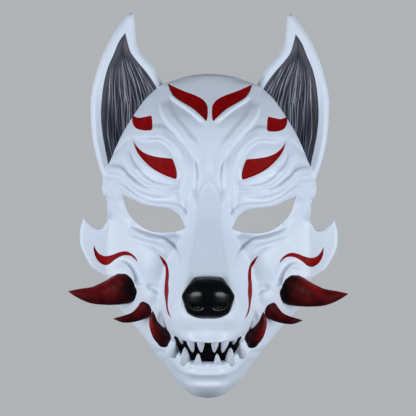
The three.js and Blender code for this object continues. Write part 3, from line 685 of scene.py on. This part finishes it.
def make_shell():
    """The shell's right half: vertices, faces and looks."""
    body = Body()
    lines = [(head_line, False), (mouth_line, False), (eye_outline, True), (fin_outline, True)]
    lines += axis_lines(head_line[0, 1], head_line[-1, 1], FINE)
    lines += [(path, True) for path in mark_outlines.values()] + [(lip_line, False)]
    points = lattice((0, CHIN_Y), (108, CHIN_Y + FACE_LENGTH), FINE)
    outlines = [(head_line, False), (eye_outline, True), (mouth_line, False), (fin_outline, True)]
    points = away_from(points[on_shell(points)], outlines, OUTLINE_GAP)
    points = away_from(points, [(lip_line, False)], LIP_GAP)
    lip_rows = np.vstack([rings(lip_line, False, side, LIP_ROWS) for side in (-1, 1)])
    lip_rows = away_from(lip_rows, outlines, 1.2)
    points = np.vstack([points, away_from(lip_rows, [(lip_line, False)], 0.3)])
    points = away_from(points, lines, FINE * 0.45)
    for own, (line, closed) in enumerate(outlines):
        others = [outlines[i] for i in range(len(outlines)) if i != own]
        for side in ((1,) if own == 0 else (1, -1)):
            row = rings(line, closed, side, RIM_ROWS)
            row = row[(row[:, 0] > 0.3) & on_shell(row)]
            row = away_from(away_from(row, others, 0.7), [outlines[own]], RIM_ROWS[0] * 0.8)
            row = away_from(row, lines[4:], 0.35)
            row = row[np.hypot(*(row - mouth_corner).T) > CORNER_GAP]
            points = np.vstack([points, row])
    xy, faces, numbers = triangulate(lines, points)
    middle = xy[faces].mean(1)
    in_head = within(middle, egg)
    keep = on_shell(middle)
    faces, in_head, middle = faces[keep], in_head[keep], middle[keep]
    red = np.zeros(len(faces), int)
    for path in mark_outlines.values():
        red[within(middle, path)] = 1
    top = body.add(np.column_stack([xy, front(xy[:, 0], xy[:, 1])]))
    for f, look in zip(faces, red):
        body.face(top[f], look)

    # The fin's underside hangs below its front and shares its rim
    head_edges, fin_edges = set(), set()
    for f, is_head in zip(faces, in_head):
        for a, b in zip(f, np.roll(f, -1)):
            (head_edges if is_head else fin_edges).add((int(a), int(b)))
    edges = head_edges | fin_edges
    rim = {v for a, b in fin_edges if (b, a) not in edges for v in (a, b)}
    under = {}
    for v in faces[~in_head].ravel().tolist():
        if v not in under:
            x, y = xy[v]
            under[v] = int(top[v]) if v in rim else int(body.add([(x, y, fin_plane(x) - FIN_THICKNESS)])[0])
    for f in faces[~in_head]:
        body.face([under[int(v)] for v in f][::-1])

    # The wall goes down to the flat rim, then inside up to the hollow
    on_axis, skip = set(numbers[4]) | set(numbers[5]), set(numbers[1]) | set(numbers[2])
    after = {a: b for a, b in head_edges
             if (b, a) not in head_edges and not {a, b} <= on_axis and not {a, b} <= skip}
    start = min(after, key=lambda v: xy[v, 1])
    ring = [start]
    while ring[-1] in after:
        ring.append(after[ring[-1]])
    ring_xy = xy[ring]
    tops = [under.get(v, int(top[v])) for v in ring]
    heights = np.array([body.verts[t][2] for t in tops])
    upper = tops
    for share in (0.6, 0.25, 0.04, 0):
        lower = list(body.add(np.column_stack([ring_xy, heights * share])))
        body.strip(lower, upper)
        upper = lower
    in_xy = rings(ring_xy, False, 1, [WALL])
    in_xy[0] = (0, ring_xy[0, 1] + WALL)
    in_xy[-1] = (0, ring_xy[-1, 1] - WALL)
    floor_ring = list(body.add(np.column_stack([in_xy, np.zeros(len(in_xy))])))
    body.strip(floor_ring, lower)

    # The inner surface keeps the outlines of the eyes and the mouth
    lines = [(in_xy, False), (mouth_line, False), (eye_outline, True)]
    lines += axis_lines(in_xy[0, 1], in_xy[-1, 1], COARSE)
    points = lattice((0, CHIN_Y), (95, CHIN_Y + FACE_LENGTH), COARSE)
    hollow = np.vstack([in_xy, [(0, in_xy[0, 1])]])
    points = away_from(points[within(points, hollow) & clear(points)], lines, COARSE * 0.4)
    inner_xy, inner_faces, inner_numbers = triangulate(lines, points)
    middle = inner_xy[inner_faces].mean(1)
    keep = within(middle, hollow) & clear(middle)
    z = np.maximum(lining(inner_xy[:, 0], inner_xy[:, 1]), 20)
    ceiling = body.add(np.column_stack([inner_xy, z]))
    for f in inner_faces[keep]:
        body.face(ceiling[f][::-1])
    body.strip([ceiling[i] for i in inner_numbers[0]], floor_ring)

    # Walls of the eye and mouth openings
    for outer_line, inner_line, closed in (
            (numbers[1], inner_numbers[1], False), (numbers[2], inner_numbers[2], True)):
        a = [int(top[i]) for i in outer_line]
        b = [int(ceiling[i]) for i in inner_line]
        if closed:
            a.append(a[0])
            b.append(b[0])
        p, q, r = (np.array(body.verts[i]) for i in (a[0], a[len(a) // 3], a[2 * len(a) // 3]))
        turn = (q - p)[0] * (r - p)[1] - (q - p)[1] * (r - p)[0]
        body.strip(*((b, a) if turn > 0 else (a, b)))
    return *body.used(), body.looks


def sided(faces, side):
    """The faces, turned over on the left, where side is -1."""
    return faces if side > 0 else [f[::-1] for f in faces]


def tube(rows, sides, first=0):
    """The faces between equal rings of points, without the ends."""
    faces = []
    for row in range(first, first + (rows - 1) * sides, sides):
        for j in range(sides):
            k = (j + 1) % sides
            faces.append((row + j, row + sides + j, row + sides + k, row + k))
    return faces


def bent_cone(axis, radii, sides=40, rings=60, side=1, bumps=lambda share, turn: 0):
    """A round body along a curved axis. Returns its vertices and faces, and for each vertex the share
    along the axis and the turn around it."""
    places = np.asarray(axis, float)
    path = np.column_stack([plan(places[:, :2]), places[:, 2]])
    path = spaced(spline(path), 0.3)
    at = np.linspace(0, len(path) - 1, rings + 1)
    share = at / at[-1]
    share = 1 - (1 - share) ** 1.15
    at = share * (len(path) - 1)
    centre = np.column_stack([np.interp(at, np.arange(len(path)), path[:, k]) for k in range(3)])
    t = np.gradient(centre, axis=0)
    t /= np.linalg.norm(t, axis=1)[:, None]
    sideways = np.cross((0, 0, 1), t)
    sideways /= np.linalg.norm(sideways, axis=1)[:, None]
    up = np.cross(sideways, t)
    radius = through(list(zip(np.linspace(0, 1, len(radii)), radii)), share)
    turn = np.linspace(0, 2 * math.pi, sides, endpoint=False)
    s, a = np.meshgrid(share, turn, indexing="ij")
    r = radius[:, None] * np.ones(sides) * (1 + bumps(s, a))
    points = (centre[:, None, :] + sideways[:, None, :] * (r * np.cos(a))[:, :, None]
              + up[:, None, :] * (r * np.sin(a) * CONE_FLATNESS)[:, :, None])
    verts = points.reshape(-1, 3)
    verts = np.vstack([verts, centre[:1], centre[-1:]])
    verts[:, 0] *= side
    faces = tube(rings + 1, sides)
    last = rings * sides
    for j in range(sides):
        k = (j + 1) % sides
        faces.append((len(verts) - 2, j, k))
        faces.append((len(verts) - 1, last + k, last + j))
    return verts, sided(faces, side), np.append(s.reshape(-1), (0, 1)), np.append(a.reshape(-1), (0, 0))


def joined(parts):
    """Several bodies as one list of vertices and faces."""
    verts, faces = [], []
    for v, f in parts:
        start = sum(len(p) for p in verts)
        verts.append(v)
        faces.extend([tuple(i + start for i in face) for face in f])
    return np.vstack(verts), faces


def tooth(root, tip, radius, side):
    """A blunt peg from root to tip: vertices and faces."""
    root, tip = np.array(root, float), np.array(tip, float)
    middle = (root + tip) / 2 + (0, 0, 1)
    shares = (0.45, 0.86, 1, 0.98, 0.9, 0.79, 0.66, 0.52, 0.37, 0.04)
    return bent_cone([root, middle, tip], [radius * share for share in shares],
                     sides=20, rings=30, side=side)[:2]


class Paint:
    """A material of one shader and the nodes that feed it."""

    def __init__(self, name):
        self.material = bpy.data.materials.new(name)
        self.material.use_nodes = True
        self.nodes = self.material.node_tree.nodes
        self.link = self.material.node_tree.links.new
        self.nodes.clear()
        output = self.nodes.new("ShaderNodeOutputMaterial")
        self.shader = self.nodes.new("ShaderNodeBsdfPrincipled")
        self.link(self.shader.outputs[0], output.inputs[0])

    def feed(self, socket, value):
        """Sets a socket of the shader to a value, or joins it to the output of a node."""
        if isinstance(value, bpy.types.NodeSocket):
            self.link(value, self.shader.inputs[socket])
        else:
            self.shader.inputs[socket].default_value = value

    def noise(self, scale, detail, stretch=(1, 1, 1)):
        mapping = self.nodes.new("ShaderNodeMapping")
        mapping.inputs["Scale"].default_value = stretch
        self.link(self.nodes.new("ShaderNodeTexCoord").outputs["Object"], mapping.inputs["Vector"])
        noise = self.nodes.new("ShaderNodeTexNoise")
        noise.inputs["Scale"].default_value = scale
        noise.inputs["Detail"].default_value = detail
        self.link(mapping.outputs[0], noise.inputs["Vector"])
        return noise.outputs["Fac"]

    def attribute(self, name):
        node = self.nodes.new("ShaderNodeAttribute")
        node.attribute_name = name
        return node.outputs["Fac"]

    def ramp(self, factor, stops):
        """Colours over a factor; a stop's colour may be a single grey value."""
        ramp = self.nodes.new("ShaderNodeValToRGB")
        elements = ramp.color_ramp.elements
        while len(elements) < len(stops):
            elements.new(0.5)
        for element, (place, colour) in zip(elements, stops):
            element.position = place
            element.color = (*np.broadcast_to(colour, 3), 1)
        self.link(factor, ramp.inputs[0])
        return ramp.outputs[0]

    def bump(self, height, strength, distance):
        bump = self.nodes.new("ShaderNodeBump")
        bump.inputs["Strength"].default_value = strength
        bump.inputs["Distance"].default_value = distance
        self.link(height, bump.inputs["Height"])
        self.link(bump.outputs[0], self.shader.inputs["Normal"])


def white_gloss(name, painted_shade_scale):
    paint = Paint(name)
    # The scale darkens the whole colour; a value below 1 is painted shade
    low, high = (np.array(c) * painted_shade_scale for c in ((0.66, 0.74, 0.86), (0.72, 0.79, 0.89)))
    paint.feed("Base Color", paint.ramp(paint.noise(14, 4), [(0.3, low), (0.7, high)]))
    paint.feed("Roughness", paint.ramp(paint.noise(60, 3), [(0.3, 0.44), (0.7, 0.54)]))
    paint.feed("Coat Weight", 0.06)
    paint.feed("Coat Roughness", 0.22)
    paint.bump(paint.noise(1.0, 2, (60, 2600, 60)), 0.12, 0.0004)
    return paint.material


def plain_paint(name, scale, detail, stops, rough, specular, bump=(0.15, 0.0003), stretch=(1, 1, 1)):
    """A material whose colour and slight unevenness follow the same noise."""
    paint = Paint(name)
    tone = paint.noise(scale, detail, stretch)
    paint.feed("Base Color", paint.ramp(tone, stops))
    paint.feed("Roughness", rough)
    paint.feed("Specular IOR Level", specular)
    paint.bump(tone, *bump)
    return paint.material


def horn_paint():
    """Black to red by each point's paint value, mottled; that value holds the paint's black root and red,
    and a painted light that reddens one side.
    """
    paint = Paint("horn_paint")
    mottle = paint.noise(120, 6)
    mix = paint.nodes.new("ShaderNodeMath")
    mix.operation = "MULTIPLY_ADD"
    paint.link(mottle, mix.inputs[0])
    mix.inputs[1].default_value = 0.7
    paint.link(paint.attribute("paint"), mix.inputs[2])
    paint.feed("Base Color", paint.ramp(mix.outputs[0], [
        (0.3, (0.004, 0.003, 0.0035)), (0.55, (0.03, 0.003, 0.004)), (0.8, (0.1, 0.003, 0.004)),
        (1.0, (0.27, 0.003, 0.006))]))
    paint.feed("Roughness", paint.ramp(mottle, [(0.3, 0.38), (0.7, 0.55)]))
    paint.feed("Specular IOR Level", 0.14)
    paint.bump(mottle, 0.3, 0.0006)
    return paint.material


def ear_hair():
    """Strands as light or dark as each point's streak value says."""
    paint = Paint("ear_hair")
    paint.feed("Base Color", paint.ramp(paint.attribute("streak"), [
        (0.15, (0.04, 0.044, 0.062)), (0.5, (0.2, 0.212, 0.265)), (0.95, (0.5, 0.51, 0.59))]))
    paint.feed("Roughness", 0.6)
    paint.feed("Specular IOR Level", 0.3)
    paint.bump(paint.noise(400, 3), 0.2, 0.0003)
    return paint.material


WHITE = white_gloss("white_gloss", 1.0)
# The teeth and the rolls in the mouth's corners are the shell's white paint darkened to 0.78, as painted
# shade for the shadow inside the mouth
TOOTH_PAINTED_SHADE = white_gloss("tooth_gloss_painted_shade", 0.78)
HORN = horn_paint()
HAIR = ear_hair()
RED = plain_paint("red_paint", 160, 5, [(0.3, (0.19, 0.0005, 0.001)), (0.7, (0.3, 0.001, 0.002))],
                  0.5, 0.06)
BLACK = plain_paint("black_gloss", 240, 4, [(0.3, (0.001, 0.0015, 0.0015)), (0.7, (0.003, 0.004, 0.004))],
                    0.24, 0.3)
BOWL = plain_paint("ear_bowl", 60, 5, [(0.35, (0.026, 0.029, 0.044)), (0.7, (0.066, 0.071, 0.094))],
                   0.55, 0.5, (0.2, 0.0003), (1, 0.25, 1))
CLOTH = plain_paint("lining_cloth", 900, 2, [(0.3, (0.001, 0.001, 0.0012)), (0.7, (0.004, 0.004, 0.005))],
                    0.95, 0.1, (0.4, 0.0004))

shell_verts, shell_faces, shell_looks = make_shell()
shell_verts, shell_faces = mirrored_half(shell_verts, shell_faces)
add_piece("shell", drafted(shell_verts), shell_faces, [WHITE, RED], shell_looks * 2,
          nodes=["face_shell"], sharp=1.2)

teeth_parts = [tooth(*item, side) for item in UPPER_TEETH + LOWER_TEETH for side in (-1, 1)]
teeth_parts += [bent_cone(*CORNER_ROLL, sides=24, rings=20, side=side)[:2] for side in (-1, 1)]
teeth_verts, teeth_faces = joined(teeth_parts)
# The teeth and corner rolls take the white darkened as painted shade
add_piece("teeth", drafted(teeth_verts), teeth_faces, [TOOTH_PAINTED_SHADE])


ear_rim = outline(EAR, 1.2)
cup_sides = [spline(plan(EAR_CUP_OUTER)), spline(plan(EAR_CUP_INNER))]
ear_cup = np.vstack([cup_sides[0], cup_sides[1][::-1]])


def ear_height(x, y):
    """Height of the ear's front over points of the plan."""
    v = along_of(y)
    edge = nearest(x, y, ear_rim, True)[0]
    depth = np.where(inside(x, y, ear_cup), nearest(x, y, ear_cup, True)[0], 0)
    rise = EAR_LEVEL + EAR_RISE * smooth((v - 85) / 35)
    return rise - EAR_RIM_FALL * np.clip(1 - edge / 4, 0, 1) ** 2 - EAR_BOWL_DEPTH * smooth(depth / 13)


def make_ear():
    """The right ear in plan millimetres: vertices, faces and looks."""
    lines = [(ear_rim, True)] + [(spaced(side, 1.0), False) for side in cup_sides]
    points = lattice(ear_rim.min(0), ear_rim.max(0), 0.9)
    points = away_from(points[within(points, ear_rim)], lines, 0.45)
    xy, faces, numbers = triangulate(lines, points)
    faces = faces[within(xy[faces].mean(1), ear_rim)]
    looks = within(xy[faces].mean(1), ear_cup).astype(int)
    z = ear_height(*xy.T)
    back = z - 2 - 4.5 * smooth(nearest(*xy.T, ear_rim, True)[0] / 8)
    body = Body()
    upper = body.add(np.column_stack([xy, z]))
    lower = body.add(np.column_stack([xy, back]))
    for f, look in zip(faces, looks):
        body.face(upper[f], look)
        body.face(lower[f][::-1])
    ring = list(numbers[0]) + [numbers[0][0]]
    a, b = [upper[i] for i in ring], [lower[i] for i in ring]
    p = xy[numbers[0]]
    area = np.sum(p[:, 0] * np.roll(p[:, 1], -1) - p[:, 1] * np.roll(p[:, 0], -1))
    body.strip(*((b, a) if area > 0 else (a, b)))
    return np.array(body.verts), body.faces, body.looks


def across_cup(line, v):
    """Where a side of the cup stands at a place along the ear."""
    line = np.array(sorted(line, key=lambda p: p[1]))
    return np.interp(v, line[:, 1], line[:, 0])


def make_hair():
    """Raised strands that run down the ear's cup from under its tip: vertices, faces and lightness."""
    rng = np.random.default_rng(11)
    verts, faces, light = [], [], []
    for strand in range(HAIRS):
        s = (strand + 0.5 + rng.uniform(-0.35, 0.35)) / HAIRS
        start = 106.8 - 2 * rng.random() - 9 * abs(s - 0.45)
        stop = 94 - 26 * s ** 1.3 - rng.uniform(0, 3)
        along = np.linspace(start, stop, 30)
        left, right = across_cup(EAR_CUP_INNER, along), across_cup(EAR_CUP_OUTER, along)
        wave = 0.016 * np.sin(along / rng.uniform(2.5, 5) + rng.uniform(0, 6.28))
        share = np.clip(0.05 + 0.9 * s + wave, 0.03, 0.97)
        x, y = plan(np.column_stack([left + (right - left) * share, along])).T
        z = ear_height(x, y)
        t = np.linspace(0, 1, len(along))
        radius = rng.uniform(0.42, 0.8) * np.minimum(1, 5 * t) ** 0.7 * (1 - 0.3 * t ** 3)
        tone = rng.uniform(0.15, 1)
        tone = tone * (0.6 + 0.4 * np.sin(t * rng.uniform(3, 9) + rng.uniform(0, 6.28)) ** 2)
        first = len(verts)
        for i in range(len(along)):
            for turn in range(HAIR_SIDES):
                a = 2 * math.pi * turn / HAIR_SIDES + math.pi / 2
                lift = math.sin(a) * radius[i] * 1.1 + 0.1
                verts.append((x[i] + math.cos(a) * radius[i], y[i], z[i] + lift))
                light.append(tone[i])
        last = first + (len(along) - 1) * HAIR_SIDES
        faces.extend(tube(len(along), HAIR_SIDES, first))
        faces.append(tuple(range(first, first + HAIR_SIDES)))
        faces.append(tuple(reversed(range(last, last + HAIR_SIDES))))
    return np.array(verts), faces, np.array(light)


ear_verts, ear_faces, ear_looks = make_ear()
hair_verts, hair_faces, hair_light = make_hair()
ear_verts, hair_verts = held_in_wall(ear_verts), held_in_wall(hair_verts)
for name, side in SIDES:
    add_piece("ear_" + name + "_piece", drafted(ear_verts * (side, 1, 1)), sided(ear_faces, side),
              [WHITE, BOWL], ear_looks, nodes=["ear_" + name])
    piece = add_piece("ear_hair_" + name, drafted(hair_verts * (side, 1, 1)), sided(hair_faces, side),
                      [HAIR])
    piece.data.attributes.new("streak", "FLOAT", "POINT").data.foreach_set("value", hair_light)


def horn_bumps(s, a):
    """Long shallow furrows and a few rings."""
    return (0.012 * np.sin(9 * a + 4 * s) + 0.01 * np.sin(17 * a - 9 * s)
            + 0.004 * np.sin(60 * s + np.sin(3 * a)) * smooth((0.6 - s) / 0.3))


def horn_paint_and_painted_light(share, turn, red, painted_light_side, root):
    """How red the paint is: black at the root, and redder along one side, which is painted light standing
    for the side the lamps fall on.
    """
    return smooth((share - 0.1) / root) * (red + 0.13 * painted_light_side * np.cos(turn)) + 0.04 * share


# For each horn: the redness of its paint, the side painted redder as painted light, and the stretch of its
# black root
for name, (axis, radii), red, painted_light_side, root in (
        ("horn_cheek", BIG_HORN, 0.39, 1, 0.22), ("horn_jaw", JAW_HORN, 0.3, 0.5, 0.22),
        ("tusk", TUSK, 0.38, -1, 0.5)):
    for suffix, side in SIDES:
        verts, faces, share, turn = bent_cone(axis, radii, side=side, bumps=horn_bumps)
        piece = add_piece(name + "_" + suffix + "_piece", drafted(held_in_wall(verts)), faces, [HORN],
                          nodes=[name + "_" + suffix])
        # The paint value holds the real black root and red, and painted light along one side
        tones = horn_paint_and_painted_light(share, turn, red, painted_light_side, root)
        piece.data.attributes.new("paint", "FLOAT", "POINT").data.foreach_set("value", tones)


def nose_height(x, y, edge):
    """Height of the nose pad: a dome with bevels on top, a groove down the middle and two nostrils."""
    v = along_of(y)
    x = np.abs(x)
    z = through(NOSE_TOP, v) - NOSE_CROWN * (x / 10) ** 2 - roll_off(edge, 3.5)
    top, side = plan([(0, 35.2), (19.5, 33.4)])
    bevel = 137.5 - 1.25 * (y - top[1]) - 0.02 * x * x
    side_bevel = 132.5 - 1.1 * ((x - side[0]) * 0.85 + (y - side[1]) * 0.53)
    z = np.minimum(z, np.minimum(bevel, side_bevel))
    z = z - 0.5 * np.exp(-(x / 3) ** 2) * smooth((34 - v) / 3)
    cx, cy = plan([NOSTRIL])[0]
    p = (x - cx) * 0.97 + (y - cy) * 0.24
    q = (y - cy) * 0.97 - (x - cx) * 0.24 - 0.03 * p * p
    r = np.hypot(p / 5.8, q / 2.0)
    z = z - 2.6 * (1 - smooth((r - 0.3) / 0.9))
    z = z + 0.35 * np.exp(-((r - 1.5) / 0.4) ** 2) * smooth(-q / 1.2)
    return z


def make_nose():
    """The nose pad's right half."""
    line = open_outline(NOSE, 0.7)
    line[0, 0] = line[-1, 0] = 0
    lines = [(line, False), (spaced(np.array([line[0], line[-1]]), 0.7), False)]
    closed = np.vstack([line, line[:1]])
    points = lattice((0, line[:, 1].min()), line.max(0), 0.6)
    points = away_from(points[within(points, closed)], lines[:1], 1.7)
    row = rings(line, False, 1, (0.12, 0.35, 0.7, 1.2))
    row = row[(row[:, 0] > 0.3) & within(row, closed)]
    points = away_from(np.vstack([points, row]), lines[1:], 0.3)
    points = away_from(points, lines[:1], 0.1)
    xy, faces, numbers = triangulate(lines, points)
    faces = faces[within(xy[faces].mean(1), closed)]
    z = nose_height(*xy.T, nearest(*xy.T, line)[0])
    body = Body()
    upper = body.add(np.column_stack([xy, z]))
    for f in faces:
        body.face(upper[f])
    rim = xy[numbers[0]]
    ground = skin(rim[:, 0], rim[:, 1]) - 1.5
    low = body.add(np.column_stack([rim, np.minimum(ground, z[numbers[0]] - 0.3)]))
    body.strip(list(low), [upper[i] for i in numbers[0]])
    return body.used()


nose_verts, nose_faces = mirrored_half(*make_nose())
add_piece("nose_pad", drafted(nose_verts), nose_faces, [BLACK], nodes=["nose"])

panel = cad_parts["mouth_lining"]
panel.data.materials.clear()
panel.data.materials.append(CLOTH)

# Floor, camera and lights: the sensor and the view's width in millimetres, the picture's in pixels
SENSOR = 36
VIEW_WIDTH = 341.12
PICTURE = 416
bpy.ops.mesh.primitive_plane_add(size=6, location=(0, 0, 0))
floor = bpy.context.object
floor.name = "floor"
floor.visible_glossy = False
pale = Paint("floor_pale")
pale.feed("Base Color", (0.01, 0.01, 0.01, 1))
pale.feed("Roughness", 1)
pale.feed("Specular IOR Level", 0)
pale.feed("Emission Color", (0.423, 0.445, 0.462, 1))
pale.feed("Emission Strength", 1)
floor.data.materials.append(pale.material)

camera_data = bpy.data.cameras.new("camera")
camera = bpy.data.objects.new("camera", camera_data)
scene.collection.objects.link(camera)
camera.location = (0, CENTRING_Y / 1000, (DRAFT_LEVEL + DRAFT_LENGTH) / 1000)
camera.rotation_euler = (0, 0, math.radians(0.5))
camera_data.sensor_width = SENSOR
camera_data.lens = SENSOR * DRAFT_LENGTH / VIEW_WIDTH
camera_data.shift_x = -1 / PICTURE
camera_data.shift_y = -2 / PICTURE
scene.camera = camera

world = bpy.data.worlds.new("studio")
scene.world = world
world.use_nodes = True
background = world.node_tree.nodes["Background"]
background.inputs["Color"].default_value = (0.75, 0.85, 1, 1)
background.inputs["Strength"].default_value = 0.06


def soft_light(name, place, target, size, power, colour):
    """A soft box that looks at its target."""
    data = bpy.data.lights.new(name, "AREA")
    data.shape = "RECTANGLE"
    data.size, data.size_y = size
    data.energy = power
    data.color = colour
    light = bpy.data.objects.new(name, data)
    light.location = place
    light.rotation_euler = (Vector(target) - Vector(place)).to_track_quat("-Z", "Y").to_euler()
    scene.collection.objects.link(light)


for name, side in (("left_box", -1), ("right_box", 1)):
    soft_light(name, (1.3 * side, -0.08, 0.95), (0, 0, 0.05), (0.9, 1.0), 21.5, (0.93, 0.96, 1))
scene.view_settings.view_transform = "Standard"
